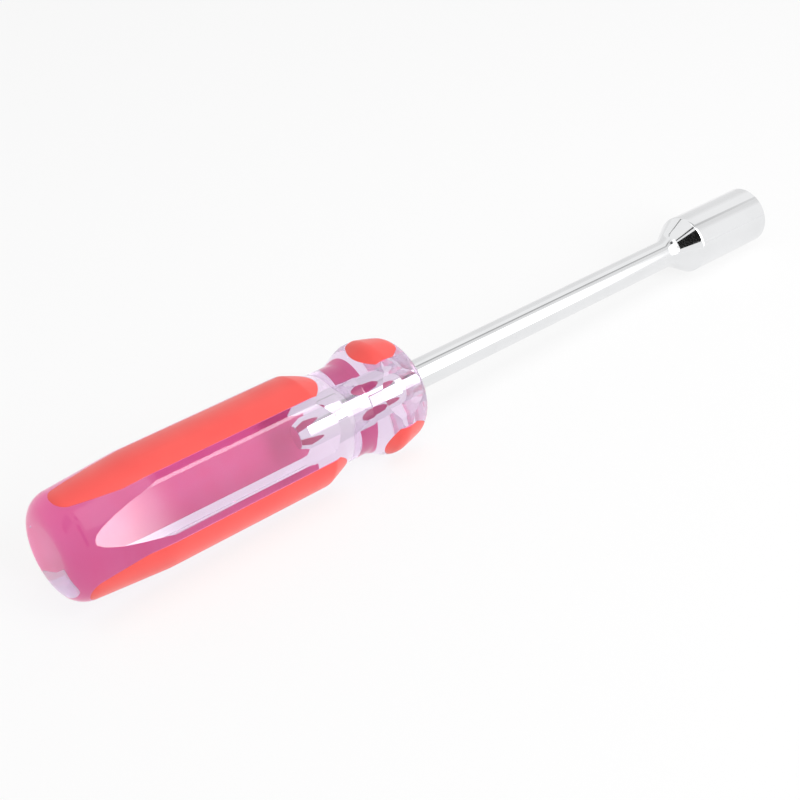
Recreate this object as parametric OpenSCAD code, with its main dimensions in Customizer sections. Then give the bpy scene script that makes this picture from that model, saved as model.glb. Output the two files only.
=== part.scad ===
// Nut driver: a chromed one-piece blade with a hex socket, fixed in a clear turned handle.
// The handle has window flats, and red inlays on the round lands between them.
// The tool lies along X. The origin is the centre of the socket's mouth, which faces +X.
// One window flat faces down and one inlay faces up. All sizes are in millimetres.

/* [Socket and shaft] */
// Size of the hex across its flats
hex_af = 7; // [5:0.5:10]
// Depth of the hex, from the mouth
hex_depth = 12; // [8:1:18]
// Depth of the chamfer that leads a nut into the hex
lead_in = 0.6; // [0.3:0.1:1]
// Wall of the socket, from a corner of the hex to the outside
socket_wall = 2.2; // [1.5:0.1:3.5]
// Length of the straight part of the socket
socket_l = 21.5; // [16:0.5:32]
// Chamfer round the socket's mouth
mouth_chamfer = 0.4; // [0.2:0.1:0.8]
// Half-angle of the cone behind the socket, in degrees
cone_angle = 30; // [20:1:45]
// Rounding where the socket turns into its cone
cone_round = 1; // [0.5:0.1:2]
// Hollow blend between the cone and the shaft
shaft_blend = 6; // [3:0.5:8]
// Diameter of the shaft and of the tang
shaft_d = 6; // [5:0.5:8]
// Distance from the socket's mouth to the front of the handle
reach = 104.2; // [80:0.2:150]

/* [Tang in the handle] */
// Depth of the tang inside the handle, with its tapered end
tang_l = 27; // [20:0.2:40]
// Length of the tapered end
tang_taper_l = 2; // [1:0.2:4]
// Diameter at the tip of the tapered end
tang_tip_d = 4.4; // [3:0.2:4.8]
// Length of the two wings pressed out of the tang, which stop it from turning
wing_l = 6; // [4:0.5:10]
// Thickness of a wing
wing_t = 1.6; // [1:0.1:3]
// Height of a wing above the tang
wing_h = 0.9; // [0.4:0.1:1.5]
// Distance from the front of the handle to the wings
wing_inset = 4; // [2:0.5:8]

/* [Handle outline] */
// Diameter of the grip
grip_d = 22; // [21:0.5:28]
// Length of the straight grip
grip_l = 33.9; // [25:0.1:60]
// Length of the tapered butt
butt_l = 18; // [12:0.5:22]
// Taper of the butt to the axis, in degrees
butt_taper = 4.3; // [3.5:0.1:6]
// Rounding of the butt's rim
butt_round = 4.4; // [1:0.2:6]
// Rounding between the grip and the tapered butt
taper_round = 20; // [8:1:40]
// Length of the conical shoulder in front of the grip
shoulder_l = 5.6; // [4:0.2:8]
// Rounding between the grip and the shoulder
shoulder_round = 2.2; // [0.5:0.1:4]
// Depth of the neck below the grip's surface
neck_depth = 2.1; // [1.75:0.05:3]
// Length of the neck
neck_l = 5.4; // [4:0.1:12]
// Hollow blend at each end of the neck
neck_blend = 1.2; // [0.4:0.1:3]

/* [Collar outline] */
// Length of the rise from the neck to the collar's crown
collar_rise_l = 5.4; // [4.5:0.1:9]
// Length of the lower, flatter part of the rise, which ends at a fine edge
foot_l = 2.1; // [1.5:0.1:3]
// Height of the lower part of the rise
foot_h = 0.9; // [0.6:0.05:1.2]
// Height of the crown's corner above the grip's surface, before it is rounded
crown_h = 0.5; // [0.1:0.05:1]
// Rounding of the crown
crown_round = 3.5; // [2:0.5:5]
// Length from the crown to the front face
collar_front_l = 7.5; // [6:0.1:10]
// Fall from the crown's corner to the front rim
front_fall = 1.85; // [1:0.05:2.5]
// Rounding of the front rim
front_round = 3.4; // [1:0.1:4]

/* [Windows and inlays] */
// Depth of the window flats below the grip's surface
window_depth = 1; // [0.8:0.05:1.6]
// Depth of the grip inlays' flat floor below the grip's surface
grip_inlay_depth = 1.5; // [0.8:0.05:1.7]
// Depth of the collar inlays' flat floor below the grip's surface
collar_inlay_depth = 1.1; // [0.6:0.05:1.7]
// Angle that one grip inlay spans round the axis, in degrees
grip_inlay_arc = 53; // [40:1:58]
// Angle that one collar inlay spans round the axis, in degrees
collar_inlay_arc = 48; // [36:1:54]

/* [Hidden] */
$fn = 96;

// Half-angle of the drill point at the bottom of the hex
drill_point = 59;
// Overlap of cutting shapes past the surface that they cut
over = 1;

// Radii, worked out from the sizes above
hex_r = hex_af / 2 / cos(30);
socket_r = hex_r + socket_wall;
shaft_r = shaft_d / 2;
grip_r = grip_d / 2;
neck_r = grip_r - neck_depth;
crown_r = grip_r + crown_h;
front_r = crown_r - front_fall;
butt_r = grip_r - butt_l * tan(butt_taper);
window_r = grip_r - window_depth;
grip_inlay_r = grip_r - grip_inlay_depth;
collar_inlay_r = grip_r - collar_inlay_depth;
foot_r = neck_r + foot_h;

// Places along the axis, as distances behind the socket's mouth
cone_end = socket_l + (socket_r - shaft_r) / tan(cone_angle);
tang_end = reach + tang_l;
crown_at = reach + collar_front_l;
neck_front = crown_at + collar_rise_l;
foot_at = neck_front - foot_l;
neck_rear = neck_front + neck_l;
grip_front = neck_rear + shoulder_l;
grip_rear = grip_front + grip_l;
butt_end = grip_rear + butt_l;
neck_middle = (neck_front + neck_rear) / 2;

// Directions round the axis: 0 faces down, 90 faces left as seen from the butt
window_turns = [0, 120, 240];
inlay_turns = [180, 60, 300];
wing_turn = 60;

// Lays a shape that was drawn along Z, with the mouth at zero, along X
module along_axis() {
    rotate([0, 90, 0]) children();
}

// Unit vector along a side of an outline
function along(from, to) = (to - from) / norm(to - from);

// Half of the angle between the two sides that meet at a corner
function half_angle(before, corner, after) = acos(along(corner, before) * along(corner, after)) / 2;

// Unit vector from a corner towards the centre of the arc that rounds it
function inward(before, corner, after) =
    along([0, 0], along(corner, before) + along(corner, after));

// Centre of the arc of radius r that rounds a corner
function arc_centre(before, corner, after, r) =
    corner + inward(before, corner, after) * r / sin(half_angle(before, corner, after));

// Where the arc of radius r meets the side that runs from the corner to the next point
function arc_end(next, corner, other, r) =
    corner + along(corner, next) * r / tan(half_angle(next, corner, other));

// A hollow corner, filled out as far as the centre of its arc, which is then cut away
function filled_corner(before, corner, after, r) = [
    arc_end(before, corner, after, r),
    arc_centre(before, corner, after, r),
    arc_end(after, corner, before, r)
];

// The sliver between a corner and the arc that rounds it, drawn a little past the corner
module corner_sliver(before, corner, after, r) {
    past = r * (1 - sin(half_angle(before, corner, after)));
    difference() {
        polygon([
            arc_end(before, corner, after, r),
            corner - inward(before, corner, after) * past,
            arc_end(after, corner, before, r),
            arc_centre(before, corner, after, r)
        ]);
        translate(arc_centre(before, corner, after, r)) circle(r);
    }
}

// An outline whose corners are rounded by true arcs. The corners listed in hollows point into the shape.
module rounded_outline(points, rounds, hollows) {
    inner = [1 : len(points) - 2];
    function is_hollow(i) = len(search(i, hollows)) > 0;
    function filled(i) = filled_corner(points[i - 1], points[i], points[i + 1], rounds[i]);
    difference() {
        polygon([for (i = [0 : len(points) - 1]) each is_hollow(i) ? filled(i) : [points[i]]]);
        for (i = inner)
            if (is_hollow(i))
                translate(filled(i)[1]) circle(rounds[i]);
            else if (rounds[i] > 0)
                corner_sliver(points[i - 1], points[i], points[i + 1], rounds[i]);
    }
}

// The handle as it is turned, before its windows, inlay pockets and tang hole are cut
module turned_handle() {
    points = [
        [0, -reach],
        [front_r, -reach],
        [crown_r, -crown_at],
        [foot_r, -foot_at],
        [neck_r, -neck_front],
        [neck_r, -neck_rear],
        [grip_r, -grip_front],
        [grip_r, -grip_rear],
        [butt_r, -butt_end],
        [0, -butt_end]
    ];
    rounds = [
        0, front_round, crown_round, 0, neck_blend, neck_blend, shoulder_round, taper_round, butt_round, 0
    ];
    rotate_extrude() rounded_outline(points, rounds, [4, 5]);
}

// The slab outside one window flat, over the whole handle
module window_cut() {
    translate([window_r, -grip_d, -butt_end - over])
        cube([grip_d, 2 * grip_d, butt_end - reach + 2 * over]);
}

// The channel of one inlay between two places on the axis: flat floor, radial side walls
module inlay_channel(arc, floor_r, front, rear) {
    outside = grip_d;
    flare = tan(arc / 2);
    translate([0, 0, -rear])
        linear_extrude(rear - front)
            polygon([
                [floor_r, -floor_r * flare],
                [outside, -outside * flare],
                [outside, outside * flare],
                [floor_r, floor_r * flare]
            ]);
}

module grip_channel() {
    inlay_channel(grip_inlay_arc, grip_inlay_r, neck_middle, butt_end + over);
}

module collar_channel() {
    inlay_channel(collar_inlay_arc, collar_inlay_r, reach - over, neck_middle);
}

// The tang with its tapered end and its two wings
module tang() {
    straight_l = tang_l - tang_taper_l;
    translate([0, 0, -reach - straight_l]) cylinder(h = straight_l, r = shaft_r);
    translate([0, 0, -tang_end]) cylinder(h = tang_taper_l, r1 = tang_tip_d / 2, r2 = shaft_r);
    rotate(wing_turn)
        translate([-shaft_r - wing_h, -wing_t / 2, -reach - wing_inset - wing_l])
            cube([2 * (shaft_r + wing_h), wing_t, wing_l]);
}

// The socket, its cone and the shaft up to the handle, as one turned outline
module turned_blade() {
    points = [
        [0, 0],
        [socket_r - mouth_chamfer, 0],
        [socket_r, -mouth_chamfer],
        [socket_r, -socket_l],
        [shaft_r, -cone_end],
        [shaft_r, -reach],
        [0, -reach]
    ];
    rounds = [0, 0, 0, cone_round, shaft_blend, 0, 0];
    rotate_extrude() rounded_outline(points, rounds, [4]);
}

// The hex with the drill point at its bottom and the lead-in at its mouth
module hex_recess() {
    drill_r = hex_af / 2;
    drill_tip_l = drill_r / tan(drill_point);
    translate([0, 0, -hex_depth]) cylinder(h = hex_depth + over, r = hex_r, $fn = 6);
    translate([0, 0, -hex_depth - drill_tip_l]) cylinder(h = drill_tip_l, r1 = 0, r2 = drill_r);
    translate([0, 0, -lead_in])
        cylinder(h = lead_in + over, r1 = drill_r, r2 = drill_r + lead_in + over);
}

module handle_body() {
    color("lavender", 0.5)
        along_axis()
            difference() {
                turned_handle();
                for (turn = window_turns) rotate(turn) window_cut();
                for (turn = inlay_turns) rotate(turn) grip_channel();
                for (turn = inlay_turns) rotate(turn) collar_channel();
                tang();
            }
}

// An inlay: what its channel takes out of the turned handle
module inlay(which) {
    color("tomato")
        along_axis()
            intersection() {
                turned_handle();
                rotate(inlay_turns[which]) children();
            }
}

module grip_inlay(which) {
    inlay(which) grip_channel();
}

module collar_inlay(which) {
    inlay(which) collar_channel();
}

module blade() {
    color("silver")
        along_axis()
            difference() {
                union() {
                    turned_blade();
                    tang();
                }
                hex_recess();
            }
}

handle_body();
grip_inlay(0);  // grip_inlay_top
grip_inlay(1);  // grip_inlay_left
grip_inlay(2);  // grip_inlay_right
collar_inlay(0);  // collar_inlay_top
collar_inlay(1);  // collar_inlay_left
collar_inlay(2);  // collar_inlay_right
blade();
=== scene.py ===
# %% [markdown]
# # Dressing a nut driver
#
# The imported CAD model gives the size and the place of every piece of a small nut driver: a chromed blade with a
# hex socket on its end, fixed in a clear plastic handle with red inlays. This lesson models the same eight pieces
# again with Blender's own tools, because clear plastic and chrome need smoother surfaces than a CAD mesh has. Then
# it gives them their finishes, a small studio and the camera of the photograph.

# %% Load the frame
import math

import bpy
from mathutils import Matrix, Vector


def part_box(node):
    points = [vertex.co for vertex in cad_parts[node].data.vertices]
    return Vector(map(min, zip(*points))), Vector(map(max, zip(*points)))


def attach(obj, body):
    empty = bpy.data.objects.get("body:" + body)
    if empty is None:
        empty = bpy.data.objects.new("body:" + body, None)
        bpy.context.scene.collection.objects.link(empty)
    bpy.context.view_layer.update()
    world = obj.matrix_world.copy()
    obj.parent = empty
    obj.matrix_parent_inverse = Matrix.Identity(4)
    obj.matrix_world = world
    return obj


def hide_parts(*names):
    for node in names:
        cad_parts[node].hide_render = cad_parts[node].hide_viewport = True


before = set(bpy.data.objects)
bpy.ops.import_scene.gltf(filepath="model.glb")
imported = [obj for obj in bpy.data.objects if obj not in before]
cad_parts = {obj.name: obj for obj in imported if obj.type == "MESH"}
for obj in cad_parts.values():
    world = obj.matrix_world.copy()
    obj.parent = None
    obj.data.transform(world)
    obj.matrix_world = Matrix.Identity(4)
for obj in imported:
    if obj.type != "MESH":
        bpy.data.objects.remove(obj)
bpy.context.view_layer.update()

# %% [markdown]
# ## The camera
#
# A photograph fixes where its camera stood. The place and the turn below were found by fitting the tool's outline,
# its round ends and the edges of its inlays to the picture. A focal length of 67.5 mm on a 36 mm sensor is the
# same as 1500 pixels on an image 800 pixels wide. The camera's axes are written out as a matrix, which is plainer
# than three turns about moving axes.

# %% Camera
MM = 0.001

camera_data = bpy.data.cameras.new("photo_camera")
camera_data.lens = 67.5
camera_data.sensor_width = 36.0
camera_data.clip_start = 0.01
camera = bpy.data.objects.new("photo_camera", camera_data)
bpy.context.scene.collection.objects.link(camera)

camera_place = Vector((-258.964, -186.334, 150.395)) * MM
camera_back = Vector((-0.53963, -0.64870, 0.53665)).normalized()
camera_up = Vector((0.37542, 0.38513, 0.84305))
camera_right = camera_up.cross(camera_back).normalized()
camera_up = camera_back.cross(camera_right)
camera_axes = Matrix((camera_right, camera_up, camera_back)).transposed().to_4x4()
camera.matrix_world = Matrix.Translation(camera_place) @ camera_axes
bpy.context.scene.camera = camera
bpy.context.scene.view_settings.view_transform = "Standard"
print("camera stands at", tuple(round(v, 4) for v in camera_place))

# %% [markdown]
# ## Outlines with true roundings
#
# Both the handle and the blade are turned shapes. On a lathe you would cut one outline and let the work spin, and
# the same works here: draw half of the outline, point by point, and spin it round the X axis. Each corner of the
# outline can be rounded. The helper swaps a corner for the points of an arc, and puts one more point close to each
# end of the arc. Those extra rings hold the smooth shading to the rounding, so that long straight walls stay
# straight to the eye, which matters most in clear plastic.

# %% Outline helpers
ARC_STEP = math.radians(2.5)
ARC_STEPS_MIN = 4


def stations_to_corners(start, stations):
    """Turns (length, radius, rounding) steps along the axis into (x, radius, rounding) corners."""
    corners = [(start, 0, 0)]
    x = start
    for length, radius, rounding in stations:
        x -= length
        corners.append((x, radius, rounding))
    return corners + [(x, 0, 0)]


def arc_points(corner, back, ahead, rounding, hold):
    """The arc that rounds a corner whose sides run towards back and ahead, with a point past each end."""
    half = back.angle(ahead) / 2
    reach = rounding / math.tan(half)
    centre = corner + (back + ahead).normalized() * rounding / math.sin(half)
    spoke = corner + back * reach - centre
    side = math.copysign(1, spoke.cross(corner + ahead * reach - centre))
    turn = math.pi - 2 * half
    steps = max(ARC_STEPS_MIN, math.ceil(turn / ARC_STEP))
    points = [corner + back * (reach + hold)]
    for k in range(steps + 1):
        spin = Matrix.Rotation(side * turn * k / steps, 2)
        points.append(centre + spin @ spoke)
    return points + [corner + ahead * (reach + hold)]


def rounded_outline(corners, hold):
    """Turns corners, in millimetres, into the points of a half outline."""
    points = []
    for i, (x, radius, rounding) in enumerate(corners):
        corner = Vector((x, radius))
        if rounding == 0:
            points.append(corner)
            continue
        back = (Vector(corners[i - 1][:2]) - corner).normalized()
        ahead = (Vector(corners[i + 1][:2]) - corner).normalized()
        points += arc_points(corner, back, ahead, rounding, hold)
    return points


# %% Turning helpers
SEAM_GAP = 0.002 * MM


def deselect():
    bpy.ops.object.select_all(action="DESELECT")


def edit(piece):
    """Opens a piece in edit mode with all of it selected."""
    deselect()
    bpy.context.view_layer.objects.active = piece
    piece.select_set(True)
    bpy.ops.object.mode_set(mode="EDIT")
    bpy.ops.mesh.select_all(action="SELECT")


def done():
    bpy.ops.object.mode_set(mode="OBJECT")


def turned(name, outline, steps):
    """Extrudes an outline point by point, spins it round X and closes the seam."""
    deselect()
    bpy.ops.mesh.primitive_plane_add(size=MM)
    piece = bpy.context.object
    piece.name = piece.data.name = name
    edit(piece)
    bpy.ops.mesh.merge(type="CENTER")
    path = [Vector((p.x, 0, p.y)) * MM for p in outline]
    bpy.ops.transform.translate(value=path[0])
    for here, there in zip(path, path[1:]):
        bpy.ops.mesh.extrude_region_move(TRANSFORM_OT_translate={"value": there - here})
    bpy.ops.mesh.select_all(action="SELECT")
    bpy.ops.mesh.spin(steps=steps, angle=math.tau, center=(0, 0, 0), axis=(1, 0, 0))
    bpy.ops.mesh.select_all(action="SELECT")
    bpy.ops.mesh.remove_doubles(threshold=SEAM_GAP)
    bpy.ops.mesh.normals_make_consistent(inside=False)
    done()
    return piece


# %% [markdown]
# ## The handle's blank
#
# The handle is one bar of clear plastic. Going back from the blade it has a collar with a rounded crown, a neck,
# a sloping shoulder, a straight grip and a butt that tapers and ends in a rounded rim. A fine edge runs round the
# back of the collar, so that one corner isn't rounded. The lengths are those of the CAD model, and they count back
# from the front of the handle, which the frame gives.

# %% Handle blank
GRIP_R = 11.0
NECK_R = 8.9
BUTT_L = 18
BUTT_TAPER = math.radians(4.3)
handle_low, handle_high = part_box("handle_body")
FRONT_X = round(handle_high[0] / MM, 3)
HANDLE_STATIONS = [  # length back from the last corner, radius, rounding
    (0, 9.65, 3.4),  # front rim of the collar
    (7.5, 11.5, 3.5),  # crown of the collar
    (3.3, 9.8, 0),  # fine edge on the collar's back
    (2.1, NECK_R, 1.2),  # front end of the neck
    (5.4, NECK_R, 1.2),  # rear end of the neck
    (5.6, GRIP_R, 2.2),  # top of the shoulder
    (33.9, GRIP_R, 20),  # end of the straight grip
    (BUTT_L, GRIP_R - BUTT_L * math.tan(BUTT_TAPER), 4.4),  # rim of the butt
]
HANDLE_STEPS = 144
HANDLE_HOLD = 0.25
handle_corners = stations_to_corners(FRONT_X, HANDLE_STATIONS)
handle_outline = rounded_outline(handle_corners, HANDLE_HOLD)
handle_blank = turned("handle_blank", handle_outline, HANDLE_STEPS)
print("handle blank:", len(handle_blank.data.polygons), "faces")

# %% [markdown]
# ## Sawing the windows
#
# Three flat windows let you look into the handle. A saw would cut them, and Blender's bisect is that saw: it cuts
# the mesh with a plane, throws the outer side away and fills the cut. Its threshold has to be tiny here, because
# the usual one is a tenth of a millimetre at this scale. The long edges of the windows are polished round. A few
# more saw cuts, each turned a little further, give that rounding: every one touches the same small circle.

# %% Saw
SAW_FINE = 1e-7
WINDOW_TURNS = (0, 120, 240)
WINDOW_R = round(-handle_low[2] / MM, 3)
EDGE_ROUND = 1.8
EDGE_CUTS = 6


def facing(turn):
    """Direction across the axis, in degrees: 0 is down, 90 is the left seen from the butt."""
    angle = math.radians(turn)
    return Vector((0, math.sin(angle), -math.cos(angle)))


def copy_piece(source, name):
    piece = source.copy()
    piece.data = source.data.copy()
    piece.name = piece.data.name = name
    bpy.context.scene.collection.objects.link(piece)
    return piece


def saw(piece, turn, distance):
    """Cuts away what lies further out than distance, in millimetres, along facing(turn)."""
    edit(piece)
    bpy.ops.mesh.bisect(
        plane_co=facing(turn) * distance * MM,
        plane_no=facing(turn),
        use_fill=True,
        clear_outer=True,
        threshold=SAW_FINE,
    )
    done()


# %% Windows with rounded edges
round_up = WINDOW_R - EDGE_ROUND
round_across = math.sqrt((GRIP_R - EDGE_ROUND) ** 2 - round_up**2)
round_angle = math.atan2(round_across, round_up)

clear_handle = copy_piece(handle_blank, "clear_handle")
for turn in WINDOW_TURNS:
    saw(clear_handle, turn, WINDOW_R)
    for side in (-1, 1):
        for k in range(1, EDGE_CUTS + 1):
            lean = round_angle * k / (EDGE_CUTS + 1)
            distance = round_up * math.cos(lean) + round_across * math.sin(lean) + EDGE_ROUND
            saw(clear_handle, turn + side * math.degrees(lean), distance)
lowest = min(v.co.z for v in clear_handle.data.vertices) / MM
print("windows sawn, lowest point at", round(lowest, 4), "mm")

# %% [markdown]
# ## Pockets and inlays
#
# The pocket of an inlay is a straight trough with a flat floor and side walls that point at the axis. It is blind,
# so a plane can't make it. A cutter takes it out with a Boolean modifier, and the same cutter, used the other way
# round on the blank, leaves the red inlay that fills the pocket: this is why the two fit. Everything that sits in
# the clear body is a hundredth of a millimetre bigger than its pocket, so that no film of air is left to act as a
# mirror between them.

# %% Cutting helpers
FILM = 0.01
INLAY_TURNS = {"top": 180, "left": 60, "right": 300}
CUTTER_TOP = 16.0


def apply_boolean(piece, cutter, operation):
    """Cuts, joins or keeps what is common, and removes the cutter."""
    modifier = piece.modifiers.new("cut", "BOOLEAN")
    modifier.operation = operation
    modifier.solver = "EXACT"
    modifier.object = cutter
    deselect()
    bpy.context.view_layer.objects.active = piece
    piece.select_set(True)
    bpy.ops.object.modifier_apply(modifier=modifier.name)
    mesh = cutter.data
    bpy.data.objects.remove(cutter)
    bpy.data.meshes.remove(mesh)


def block(name, low, high):
    """A box between two corners, in millimetres."""
    deselect()
    bpy.ops.mesh.primitive_cube_add(size=1)
    piece = bpy.context.object
    piece.name = piece.data.name = name
    low, high = Vector(low), Vector(high)
    edit(piece)
    bpy.ops.transform.resize(value=(high - low) * MM, center_override=(0, 0, 0))
    bpy.ops.transform.translate(value=(high + low) / 2 * MM)
    done()
    return piece


def pick_vertices(piece, test):
    """Opens a piece in edit mode with only the vertices selected whose place passes the test."""
    edit(piece)
    bpy.ops.mesh.select_all(action="DESELECT")
    done()
    for vertex in piece.data.vertices:
        vertex.select = test(vertex.co)
    bpy.ops.object.mode_set(mode="EDIT")


def turn_about_axis(piece, turn):
    """Turns a piece round X, in degrees, and puts the turn into its mesh."""
    deselect()
    bpy.context.view_layer.objects.active = piece
    piece.select_set(True)
    piece.rotation_euler.x = math.radians(turn)
    bpy.ops.object.transform_apply(location=False, rotation=True, scale=False)


def trough(turn, arc, floor_r, front, rear, film):
    """The cutter of one pocket: a block below the axis, flared outwards, then turned to its place."""
    flare = math.tan(math.radians(arc / 2))
    floor_r = floor_r - film
    floor_half = floor_r * flare + film
    cutter = block("trough", (rear, -floor_half, -CUTTER_TOP), (front, floor_half, -floor_r))
    pick_vertices(cutter, lambda place: place.z < -(CUTTER_TOP + floor_r) / 2 * MM)
    bpy.ops.transform.resize(
        value=(1, (CUTTER_TOP * flare + film) / floor_half, 1), center_override=(0, 0, 0)
    )
    done()
    turn_about_axis(cutter, turn)
    return cutter


# %% Inlays and their pockets
PAST_END = 2.0
neck_middle = (handle_corners[4][0] + handle_corners[5][0]) / 2
butt_x = handle_corners[-1][0]
POCKETS = {  # arc in degrees, radius of the floor, front end, rear end
    "grip_inlay_": (53, GRIP_R - 1.5, neck_middle, butt_x - PAST_END),
    "collar_inlay_": (48, GRIP_R - 1.1, FRONT_X + PAST_END, neck_middle),
}

inlays = {}
for kind, pocket in POCKETS.items():
    for where, turn in INLAY_TURNS.items():
        inlay = copy_piece(handle_blank, kind + where + "_piece")
        apply_boolean(inlay, trough(turn, *pocket, FILM), "INTERSECT")
        apply_boolean(clear_handle, trough(turn, *pocket, 0), "DIFFERENCE")
        inlays[kind + where] = inlay
bpy.data.objects.remove(handle_blank)
print("inlays:", {node: len(inlay.data.polygons) for node, inlay in inlays.items()})

# %% [markdown]
# ## The tang's hole
#
# The blade's tang is moulded into the handle. Two small wings were pressed out of it, so that it can't turn. The
# hole has the same shape, a film smaller. Both are seen through the clear plastic, so both get the tapered end.

# %% Tang and hole
SHAFT_R = 3.0
TANG_TIP_R = 2.2
TANG_L = 27.0
TANG_TAPER_L = 2.0
TANG_TAPER_X = FRONT_X - (TANG_L - TANG_TAPER_L)
TANG_END_X = TANG_TAPER_X - TANG_TAPER_L
HOLE_STEPS = 72
WING_TURN = 60
WING_INSET = 4.0
WING_L = 6.0
WING_X = (FRONT_X - (WING_INSET + WING_L), FRONT_X - WING_INSET)
WING_HALF_T = 0.8
WING_R = SHAFT_R + 0.9


def wings(film):
    """The two wings as one bar across the tang."""
    low = (WING_X[0] + film, -WING_HALF_T + film, -WING_R + film)
    high = (WING_X[1] - film, WING_HALF_T - film, WING_R - film)
    bar = block("wings", low, high)
    turn_about_axis(bar, WING_TURN)
    return bar


hole_outline = [
    Vector((FRONT_X + PAST_END, 0)),
    Vector((FRONT_X + PAST_END, SHAFT_R - FILM)),
    Vector((TANG_TAPER_X, SHAFT_R - FILM)),
    Vector((TANG_END_X + FILM, TANG_TIP_R - FILM)),
    Vector((TANG_END_X + FILM, 0)),
]
hole = turned("tang_hole", hole_outline, HOLE_STEPS)
apply_boolean(hole, wings(FILM), "UNION")
apply_boolean(clear_handle, hole, "DIFFERENCE")
print("clear handle:", len(clear_handle.data.polygons), "faces")

# %% [markdown]
# ## The blade
#
# The blade is one piece of chromed steel: the socket with its hex, the cone behind it, a hollow blend into the
# round shaft, and the tang inside the handle. It is turned like the handle. The hex is a six-sided cutter with a
# drill point behind it, and a short cone at the mouth leads a nut in.

# %% Blade
HEX_FLAT_R = 3.5
HEX_CORNER_R = HEX_FLAT_R / math.cos(math.radians(30))
HEX_DEPTH = 12.0
LEAD_IN = 0.6
DRILL_ANGLE = math.radians(118)
DRILL_L = HEX_FLAT_R / math.tan(DRILL_ANGLE / 2)
SOCKET_WALL = 2.2
SOCKET_R = HEX_CORNER_R + SOCKET_WALL
SOCKET_L = 21.5
MOUTH_CHAMFER = 0.4
EDGE_SOFT = 0.12
CONE_ANGLE = math.radians(30)
CONE_L = (SOCKET_R - SHAFT_R) / math.tan(CONE_ANGLE)
BLADE_STEPS = 120
BLADE_HOLD = 0.1
BLADE_STATIONS = [
    (0, SOCKET_R - MOUTH_CHAMFER, EDGE_SOFT),
    (MOUTH_CHAMFER, SOCKET_R, EDGE_SOFT),
    (SOCKET_L - MOUTH_CHAMFER, SOCKET_R, 1),
    (CONE_L, SHAFT_R, 6),
    (-TANG_TAPER_X - SOCKET_L - CONE_L, SHAFT_R, 0),
    (TANG_TAPER_X - TANG_END_X, TANG_TIP_R, 0.2),
]
blade_outline = rounded_outline(stations_to_corners(0, BLADE_STATIONS), BLADE_HOLD)
blade = turned("chrome_blade", blade_outline, BLADE_STEPS)
apply_boolean(blade, wings(0), "UNION")

# %% Hex
SINK = 0.001
CONE_SIDES = 72


def cone_along_axis(wide_x, wide_r, tip_x, tip_r):
    """A cone cutter along X between two places, in millimetres."""
    deselect()
    bpy.ops.mesh.primitive_cone_add(
        vertices=CONE_SIDES,
        radius1=wide_r * MM,
        radius2=tip_r * MM,
        depth=(wide_x - tip_x) * MM,
        location=((wide_x + tip_x) / 2 * MM, 0, 0),
        rotation=(0, math.radians(-90), 0),
    )
    bpy.ops.object.transform_apply(location=True, rotation=True, scale=False)
    return bpy.context.object


deselect()
bpy.ops.mesh.primitive_cylinder_add(
    vertices=6,
    radius=HEX_CORNER_R * MM,
    depth=2 * HEX_DEPTH * MM,
    rotation=(math.radians(90), 0, math.radians(90)),
)
hex_cutter = bpy.context.object
bpy.ops.object.transform_apply(location=False, rotation=True, scale=False)
drill_point = cone_along_axis(SINK - HEX_DEPTH, HEX_FLAT_R, SINK - HEX_DEPTH - DRILL_L, 0)
lead_cone = cone_along_axis(PAST_END, HEX_FLAT_R + LEAD_IN + PAST_END, -LEAD_IN, HEX_FLAT_R)
apply_boolean(hex_cutter, drill_point, "UNION")
apply_boolean(blade, hex_cutter, "DIFFERENCE")
apply_boolean(blade, lead_cone, "DIFFERENCE")
print("blade:", len(blade.data.polygons), "faces")


# %% Compare with the CAD boxes
def box_gap(piece, node):
    """The largest difference between a piece's box and its CAD node's box, in millimetres."""
    low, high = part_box(node)
    gaps = []
    for axis in range(3):
        places = [v.co[axis] for v in piece.data.vertices]
        gaps += [abs(min(places) - low[axis]), abs(max(places) - high[axis])]
    return max(gaps) / MM


made = {**inlays, "handle_body": clear_handle, "blade": blade}
for node, piece in made.items():
    print(node, "differs from its CAD box by", round(box_gap(piece, node), 3), "mm")

# %% [markdown]
# ## Smooth and sharp
#
# Turned surfaces should shade as round and cut edges as crisp. Shading by angle decides this for every edge. The
# steps of the roundings are 2.5 degrees, and the finest edge that has to stay crisp, the one round the collar's
# back, bends by a little over 4 degrees. So a limit between the two suits all the pieces of the handle.

# %% Shading
HANDLE_CRISP = math.radians(3.6)
BLADE_CRISP = math.radians(15)
TINY_GAP = 0.001 * MM
for piece in made.values():
    edit(piece)
    bpy.ops.mesh.remove_doubles(threshold=TINY_GAP)
    done()
    bpy.ops.object.shade_smooth_by_angle(angle=BLADE_CRISP if piece is blade else HANDLE_CRISP)

# %% [markdown]
# ## Marks of handling
#
# No surface is perfectly even. Hands leave soft smudges, and other tools in the drawer leave fine scratches, which
# mostly run along the tool. All three finishes need them, so they are one node group with two masks as outputs.
# Each material decides what a smudge or a scratch does to it. The pattern sits on Object coordinates, in metres.

# %% Node helper and the shared group
def put(tree, kind, inputs=None, **settings):
    """Adds a node, sets its properties and fills its inputs with values or links."""
    node = tree.nodes.new(kind)
    for name, value in settings.items():
        setattr(node, name, value)
    for key, value in (inputs or {}).items():
        if isinstance(value, bpy.types.NodeSocket):
            tree.links.new(value, node.inputs[key])
        else:
            node.inputs[key].default_value = value
    return node


marks_group = bpy.data.node_groups.new("handling_marks", "ShaderNodeTree")
sockets = marks_group.interface
sockets.new_socket("Place", in_out="INPUT", socket_type="NodeSocketVector")
sockets.new_socket("Smudge Scale", in_out="INPUT", socket_type="NodeSocketFloat").default_value = 90
sockets.new_socket("Scratch Scale", in_out="INPUT", socket_type="NodeSocketFloat").default_value = 2500
sockets.new_socket("Smudge", in_out="OUTPUT", socket_type="NodeSocketFloat")
sockets.new_socket("Scratch", in_out="OUTPUT", socket_type="NodeSocketFloat")

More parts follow.
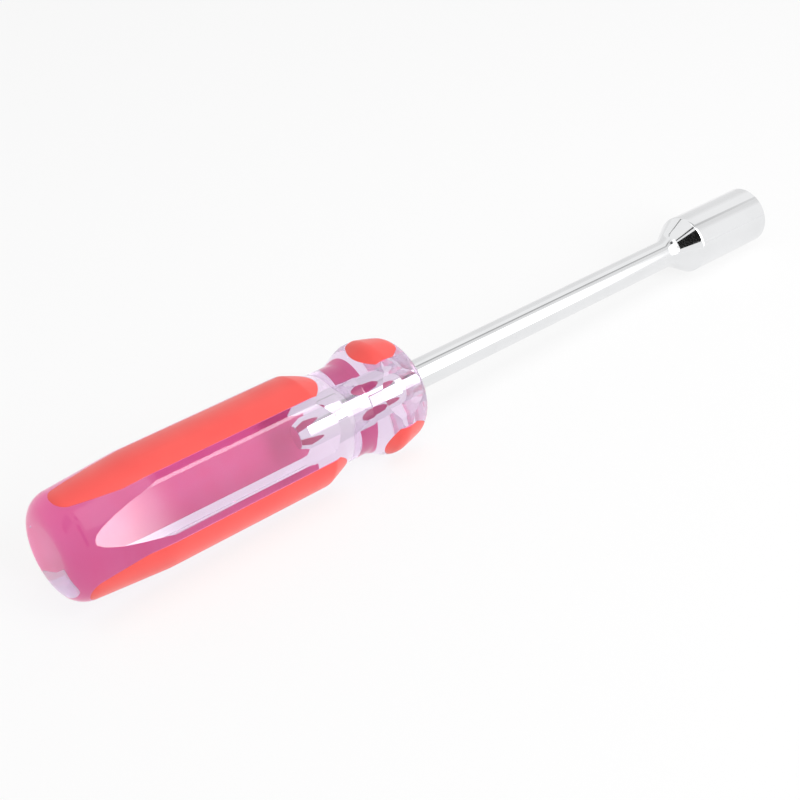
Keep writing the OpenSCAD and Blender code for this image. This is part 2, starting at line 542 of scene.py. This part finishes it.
given = put(marks_group, "NodeGroupInput")
smudge_noise = put(
    marks_group,
    "ShaderNodeTexNoise",
    {"Vector": given.outputs["Place"], "Scale": given.outputs["Smudge Scale"], "Detail": 3.0},
)
smudge = put(
    marks_group,
    "ShaderNodeMapRange",
    {"Value": smudge_noise.outputs["Fac"], "From Min": 0.35, "From Max": 0.7},
    interpolation_type="SMOOTHSTEP",
)
stretched = put(
    marks_group,
    "ShaderNodeMapping",
    {"Vector": given.outputs["Place"], "Rotation": (0.0, 0.0, 0.06), "Scale": (0.03, 1.0, 1.0)},
)
scratch_noise = put(
    marks_group,
    "ShaderNodeTexNoise",
    {"Vector": stretched.outputs["Vector"], "Scale": given.outputs["Scratch Scale"], "Detail": 1.0},
)
scratch = put(
    marks_group,
    "ShaderNodeMapRange",
    {"Value": scratch_noise.outputs["Fac"], "From Min": 0.66, "From Max": 0.74},
)
given_back = put(
    marks_group,
    "NodeGroupOutput",
    {"Smudge": smudge.outputs["Result"], "Scratch": scratch.outputs["Result"]},
)
print("group", marks_group.name, "gives", [s.name for s in given_back.inputs if s.name])


# %% Material helpers
def new_material(name):
    """A material with its Principled shader, and the marks placed on Object coordinates."""
    material = bpy.data.materials.new(name)
    material.use_nodes = True
    tree = material.node_tree
    place = put(tree, "ShaderNodeTexCoord").outputs["Object"]
    marks = put(tree, "ShaderNodeGroup", {}, node_tree=marks_group)
    tree.links.new(place, marks.inputs["Place"])
    return material, tree, tree.nodes["Principled BSDF"], place, marks


def weigh(tree, base, parts):
    """base plus each (socket, share), as a chain of multiply-add nodes."""
    total = base
    for socket, share in parts:
        step = put(tree, "ShaderNodeMath", {0: socket, 1: share, 2: total}, operation="MULTIPLY_ADD")
        total = step.outputs[0]
    return total


def between(tree, factor, first, second):
    """A colour that goes from first to second. Sockets 6, 7 and 2 are the Mix node's colours."""
    mix = put(tree, "ShaderNodeMix", {"Factor": factor}, data_type="RGBA")
    mix.inputs[6].default_value = (*first, 1)
    mix.inputs[7].default_value = (*second, 1)
    return mix.outputs[2]


def relief(tree, height, depth, strength):
    """A bump of the given depth in metres."""
    bump = put(tree, "ShaderNodeBump", {"Height": height, "Distance": depth, "Strength": strength})
    return bump.outputs["Normal"]


# %% [markdown]
# ## Red plastic, outside and inside
#
# The inlays are opaque red plastic with a soft sheen and the faint unevenness of a moulding. Their inner faces are
# bonded to the clear body, and there is no air to make them shine, so their specular level is zero. Their colour
# is painted light: a paler pink than the outside red, in soft clouds, standing in for the light that reaches them
# through the body and the thin red plastic. One inlay carries both materials, and the way that a face points,
# outwards or not, tells which one it gets.

# %% Red plastic
red_plastic, tree, shader, place, marks = new_material("red_plastic")
tree.links.new(
    between(tree, marks.outputs["Smudge"], (0.93, 0.092, 0.078), (0.90, 0.080, 0.070)),
    shader.inputs["Base Color"],
)
tree.links.new(
    weigh(tree, 0.30, [(marks.outputs["Smudge"], 0.08), (marks.outputs["Scratch"], 0.15)]),
    shader.inputs["Roughness"],
)
skin = put(tree, "ShaderNodeTexNoise", {"Vector": place, "Scale": 1100.0, "Detail": 2.0})
tree.links.new(relief(tree, skin.outputs["Fac"], 0.00002, 0.25), shader.inputs["Normal"])

# %% Bonded side of the red plastic
red_bond_painted_light, tree, shader, place, marks = new_material("red_bond_painted_light")
# Painted light: the paler pink, in soft clouds, stands in for the light that reaches the bonded faces inside the
# body.
cloud = put(tree, "ShaderNodeTexNoise", {"Vector": place, "Scale": 260.0, "Detail": 3.0})
tree.links.new(
    between(tree, cloud.outputs["Fac"], (0.95, 0.17, 0.36), (0.95, 0.27, 0.48)),
    shader.inputs["Base Color"],
)
tree.links.new(weigh(tree, 0.5, [(marks.outputs["Smudge"], 0.2)]), shader.inputs["Roughness"])
shader.inputs["Specular IOR Level"].default_value = 0.0
print("red plastic has an outside and a bonded side")

# %% [markdown]
# ## Clear plastic
#
# The body is polished clear plastic with a lavender tint. Light bends at its surface and loses colour on its way
# through, so the tint is an absorption inside the body and the surface itself stays white. A faint swell of the
# surface, as on any moulding, makes the reflections waver. Lamps couldn't reach the red faces inside, because a
# path tracer finds no straight way through a surface that bends light. A Light Path trick lets shadow rays and
# diffuse rays pass straight through, so the inside is lit as brightly as on the real tool. A ray that is thrown
# back inside the body could bounce on until the renderer gives up, and end black. Half of these rays are let out
# at their next surface, with the tint of the plastic that they would still have crossed.

# %% Clear plastic
clear_plastic, tree, shader, place, marks = new_material("clear_plastic")
shader.inputs["Base Color"].default_value = (1, 1, 1, 1)
shader.inputs["IOR"].default_value = 1.49
shader.inputs["Transmission Weight"].default_value = 1.0
tree.links.new(
    weigh(tree, 0.0, [(marks.outputs["Smudge"], 0.015), (marks.outputs["Scratch"], 0.05)]),
    shader.inputs["Roughness"],
)
swell = put(tree, "ShaderNodeTexNoise", {"Vector": place, "Scale": 150.0, "Detail": 1.0})
tree.links.new(relief(tree, swell.outputs["Fac"], 0.00004, 0.15), shader.inputs["Normal"])

light_path = put(tree, "ShaderNodeLightPath")
straight = put(tree, "ShaderNodeBsdfTransparent", {"Color": (0.95, 0.92, 0.97, 1)})
let_out = put(tree, "ShaderNodeBsdfTransparent", {"Color": (0.93, 0.79, 0.92, 1)})
surface = shader.outputs["BSDF"]
half_out = put(tree, "ShaderNodeMixShader", {0: 0.5, 1: surface, 2: let_out.outputs[0]})
for kind, way in (("Is Shadow Ray", straight), ("Is Diffuse Ray", straight), ("Is Glossy Ray", half_out)):
    mix = put(tree, "ShaderNodeMixShader", {0: light_path.outputs[kind], 1: surface, 2: way.outputs[0]})
    surface = mix.outputs[0]
tint = put(tree, "ShaderNodeVolumeAbsorption", {"Color": (0.52, 0.11, 0.68, 1), "Density": 14.0})
tree.links.new(surface, tree.nodes["Material Output"].inputs["Surface"])
tree.links.new(tint.outputs["Volume"], tree.nodes["Material Output"].inputs["Volume"])
print("clear plastic takes most of the green out of the light")

# %% [markdown]
# ## Chrome and bare steel
#
# The blade is plated, so it mirrors the studio. Plating stops at the mouth: the broached sides of the hex and the
# drill point behind them are bare steel, duller and darker. Fine rings from polishing run round the shaft.

# %% Chrome
chrome, tree, shader, place, marks = new_material("chrome")
tree.links.new(
    between(tree, marks.outputs["Smudge"], (0.83, 0.835, 0.845), (0.80, 0.805, 0.815)),
    shader.inputs["Base Color"],
)
shader.inputs["Metallic"].default_value = 1.0
tree.links.new(
    weigh(tree, 0.06, [(marks.outputs["Smudge"], 0.03), (marks.outputs["Scratch"], 0.08)]),
    shader.inputs["Roughness"],
)
along = put(tree, "ShaderNodeMapping", {"Vector": place, "Scale": (1.0, 0.02, 0.02)})
rings = put(tree, "ShaderNodeTexNoise", {"Vector": along.outputs["Vector"], "Scale": 6000.0, "Detail": 2.0})
tree.links.new(relief(tree, rings.outputs["Fac"], 0.000002, 0.3), shader.inputs["Normal"])

# %% Bare steel
bare_steel, tree, shader, place, marks = new_material("bare_steel")
tree.links.new(
    between(tree, marks.outputs["Smudge"], (0.50, 0.50, 0.51), (0.38, 0.37, 0.37)),
    shader.inputs["Base Color"],
)
shader.inputs["Metallic"].default_value = 1.0
tree.links.new(
    weigh(tree, 0.32, [(marks.outputs["Smudge"], 0.15), (marks.outputs["Scratch"], 0.1)]),
    shader.inputs["Roughness"],
)
print("blade finishes:", chrome.name, "and", bare_steel.name)

# %% [markdown]
# ## Putting the finishes on
#
# Every piece gets its materials, rides on the one body of the tool and stands for its CAD node, which is then
# hidden. The materials of single faces are chosen by where a face lies and where it points.

# %% Dress the pieces
def dress(piece, node, materials, choose):
    """Fills the material slots, picks one for each face, and ties the piece to the frame."""
    piece.data.materials.clear()
    for material in materials:
        piece.data.materials.append(material)
    for face in piece.data.polygons:
        face.material_index = choose(face)
    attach(piece, "root")
    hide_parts(node)


def inner_side(face):
    outwards = Vector((0, face.center.y, face.center.z)).normalized()
    return 0 if face.normal.dot(outwards) > 0.5 else 1


def inside_hex(face):
    from_axis = math.hypot(face.center.y, face.center.z) / MM
    return 1 if from_axis < HEX_CORNER_R and -LEAD_IN > face.center.x / MM > -HEX_DEPTH - DRILL_L else 0


for node, inlay in inlays.items():
    dress(inlay, node, [red_plastic, red_bond_painted_light], inner_side)
dress(clear_handle, "handle_body", [clear_plastic], lambda face: 0)
dress(blade, "blade", [chrome, bare_steel], inside_hex)
print(sum(face.material_index for face in blade.data.polygons), "faces of bare steel in the hex")

# %% [markdown]
# ## The floor
#
# Lay the tool on a bench and it tips forward, because the blade is heavier than the handle: it rests on the front
# edge of the collar's lower flat and on the rim of the socket. The pale floor is tilted to touch both. The camera
# sees it mostly as plain white, with enough of its own shading left to keep the tool's shadow.

# %% Floor
FLOOR_SIZE = 8.0
FLOOR_WHITE = 0.8
FLAT_GAP = 0.002 * MM


def seen_directly(tree):
    """1 for rays from the camera, from mirrors and from clear plastic, and 0 for light that spreads."""
    path = put(tree, "ShaderNodeLightPath")
    total = put(
        tree,
        "ShaderNodeMath",
        {0: path.outputs["Is Camera Ray"], 1: path.outputs["Is Glossy Ray"]},
        operation="ADD",
    )
    total = put(
        tree,
        "ShaderNodeMath",
        {0: total.outputs[0], 1: path.outputs["Is Transmission Ray"]},
        operation="ADD",
        use_clamp=True,
    )
    return total.outputs[0]


flat_z = -WINDOW_R * MM
collar_flat = [v.co for v in clear_handle.data.vertices if abs(v.co.z - flat_z) < FLAT_GAP]
collar_edge = max(place.x for place in collar_flat)
blade_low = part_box("blade")[0][2]
tilt = math.atan2(blade_low - flat_z, -MOUTH_CHAMFER * MM - collar_edge)
deselect()
bpy.ops.mesh.primitive_plane_add(
    size=FLOOR_SIZE, location=(collar_edge, 0, flat_z), rotation=(0, -tilt, 0)
)
floor = bpy.context.object
floor.name = "floor"
floor_paint = bpy.data.materials.new("floor_paint")
floor_paint.use_nodes = True
tree = floor_paint.node_tree
tree.nodes.remove(tree.nodes["Principled BSDF"])
matt = put(tree, "ShaderNodeBsdfDiffuse", {"Color": (0.9, 0.9, 0.9, 1)})
white = put(tree, "ShaderNodeEmission", {"Color": (1, 1, 1, 1), "Strength": 1.0})
share = put(tree, "ShaderNodeMath", {0: seen_directly(tree), 1: FLOOR_WHITE}, operation="MULTIPLY")
mix = put(tree, "ShaderNodeMixShader", {0: share.outputs[0], 1: matt.outputs[0], 2: white.outputs[0]})
tree.links.new(mix.outputs[0], tree.nodes["Material Output"].inputs["Surface"])
floor.data.materials.append(floor_paint)
print("floor tilted by", round(math.degrees(tilt), 2), "degrees")

# %% [markdown]
# ## Light
#
# The world is an even soft light. Seen directly, in chrome or through plastic, it is plain white. A strong soft
# box stands on the right, beside the camera, and one above lights the tops of the inlays. A wide, weak one stands
# further forward. The strength of a soft box is given by how bright its surface is, and its power follows from its
# size. A lamp has a hard border, which polished plastic and chrome would show. So the lamps are kept out of the
# mirrors, and cards with soft borders stand in for them below.

# %% World and soft boxes
AMBIENT = 0.5

world = bpy.data.worlds.new("studio")
bpy.context.scene.world = world
world.use_nodes = True
tree = world.node_tree
strength = put(
    tree,
    "ShaderNodeMath",
    {0: seen_directly(tree), 1: 1.0 - AMBIENT, 2: AMBIENT},
    operation="MULTIPLY_ADD",
)
tree.nodes["Background"].inputs["Color"].default_value = (1, 1, 1, 1)
tree.links.new(strength.outputs[0], tree.nodes["Background"].inputs["Strength"])


def stand(x, turn, distance):
    """A place beside the tool, and the turn that makes a lamp or a card there face the axis."""
    place = Vector((x, 0, 0)) * MM + facing(turn) * distance * MM
    return place, (-facing(turn)).to_track_quat("-Z", "Y").to_euler()


def soft_box(name, x, turn, distance, width, height, brightness):
    lamp_data = bpy.data.lights.new(name, "AREA")
    lamp_data.shape = "RECTANGLE"
    lamp_data.size = width * MM
    lamp_data.size_y = height * MM
    lamp_data.energy = brightness * math.pi * lamp_data.size * lamp_data.size_y
    lamp = bpy.data.objects.new(name, lamp_data)
    lamp.location, lamp.rotation_euler = stand(x, turn, distance)
    lamp.visible_camera = False
    lamp.visible_glossy = False
    bpy.context.scene.collection.objects.link(lamp)
    print(name, "gives", round(lamp_data.energy, 2), "W")


# name, then x, turn, distance, width and height
soft_box("key_box", 5, 241, 500, 130, 340, brightness=8)
soft_box("wide_box", 250, 234, 560, 300, 720, brightness=1.4)
soft_box("top_box", -140, 190, 600, 380, 400, brightness=2.2)

# %% [markdown]
# ## Cards for the mirrors
#
# A polished surface shows what stands round it, so photographers hang cards round their work. Bright ones with
# soft borders draw the highlights: on the rear of the window, along its upper edge, on the taper, and a wide one
# all along the shaft. Chrome in an all-white room looks like white paint, so it gets darker cards too. A grey one
# ahead and above draws the long streak on the shaft and the socket, with two paler ones on either side of it, and
# another does the same for views from the front. A small dark one keeps the front of the grip from shining. Black
# ones make the crisp patch, the fine band and the thin line on the cone. Only glossy rays see the cards, so they
# throw no shade. A card's own UV map tells how far a place is from its border.

# %% Cards
def soft_edge(tree, along, fade):
    """1 in the middle of a card and 0 at its border. fade is the share of the card that fades."""
    off = put(tree, "ShaderNodeMath", {0: along, 1: 0.5}, operation="SUBTRACT")
    off = put(tree, "ShaderNodeMath", {0: off.outputs[0]}, operation="ABSOLUTE")
    ramp = put(
        tree,
        "ShaderNodeMapRange",
        {"Value": off.outputs[0], "From Min": 0.5, "From Max": 0.5 - fade / 2},
        interpolation_type="SMOOTHSTEP",
    )
    return ramp.outputs["Result"]


def card(name, x, turn, distance, width, height, brightness, swing=0.0, fade=(0.02, 0.02)):
    """A sheet that faces the axis and glows evenly, seen by glossy rays alone."""
    deselect()
    place, rotation = stand(x, turn, distance)
    bpy.ops.mesh.primitive_plane_add(size=1, location=place, rotation=rotation)
    sheet = bpy.context.object
    sheet.name = name
    sheet.scale = (width * MM, height * MM, 1)
    sheet.rotation_euler.rotate_axis("Z", math.radians(swing))
    paint = bpy.data.materials.new(name + "_paint")
    paint.use_nodes = True
    tree = paint.node_tree
    tree.nodes.remove(tree.nodes["Principled BSDF"])
    across = put(tree, "ShaderNodeTexCoord").outputs["UV"]
    parts = put(tree, "ShaderNodeSeparateXYZ", {"Vector": across})
    masks = [soft_edge(tree, parts.outputs[k], fade[k]) for k in range(2)]
    mask = put(tree, "ShaderNodeMath", {0: masks[0], 1: masks[1]}, operation="MULTIPLY")
    nothing = put(tree, "ShaderNodeBsdfTransparent")
    glow = put(tree, "ShaderNodeEmission", {"Color": (1, 1, 1, 1), "Strength": brightness})
    mix = put(tree, "ShaderNodeMixShader", {0: mask.outputs[0], 1: nothing.outputs[0], 2: glow.outputs[0]})
    tree.links.new(mix.outputs[0], tree.nodes["Material Output"].inputs["Surface"])
    sheet.data.materials.append(paint)
    for kind in ("camera", "diffuse", "transmission", "volume_scatter", "shadow"):
        setattr(sheet, "visible_" + kind, False)


# name, then x, turn, distance, width and height
card("key_card", 0, 249, 490, 110, 130, brightness=12.5, fade=(0.9, 0.4))
card("edge_card", 85, 224, 480, 150, 410, brightness=9, fade=(0.4, 0.2))
card("taper_card", -28, 200, 600, 100, 520, brightness=2.2, fade=(0.5, 0.15))
card("wide_card", 280, 240, 570, 520, 1000, brightness=2.4, fade=(0.42, 0.25))
card("back_card", 650, 115, 700, 1000, 1100, brightness=0.86, fade=(0.2, 0.8))
card("shade_card", 105, 188, 520, 130, 180, brightness=0.05, fade=(0.3, 0.4))
card("streak_card", 330, 177, 520, 760, 130, brightness=0.4, swing=-22, fade=(0.9, 0.8))
card("front_card", -740, 185, 520, 960, 320, brightness=0.25, fade=(0.3, 0.9))
card("ceiling_card", 480, 194, 560, 900, 400, brightness=0.85, swing=-21, fade=(0.1, 0.9))
card("patch_card", -272, 227, 1000, 228, 848, brightness=0.01)
card("band_card", -131, 193, 500, 90, 75, brightness=0.02, fade=(0.1, 0.7))
card("line_card", -5, 137, 520, 20, 165, brightness=0.02, swing=22)
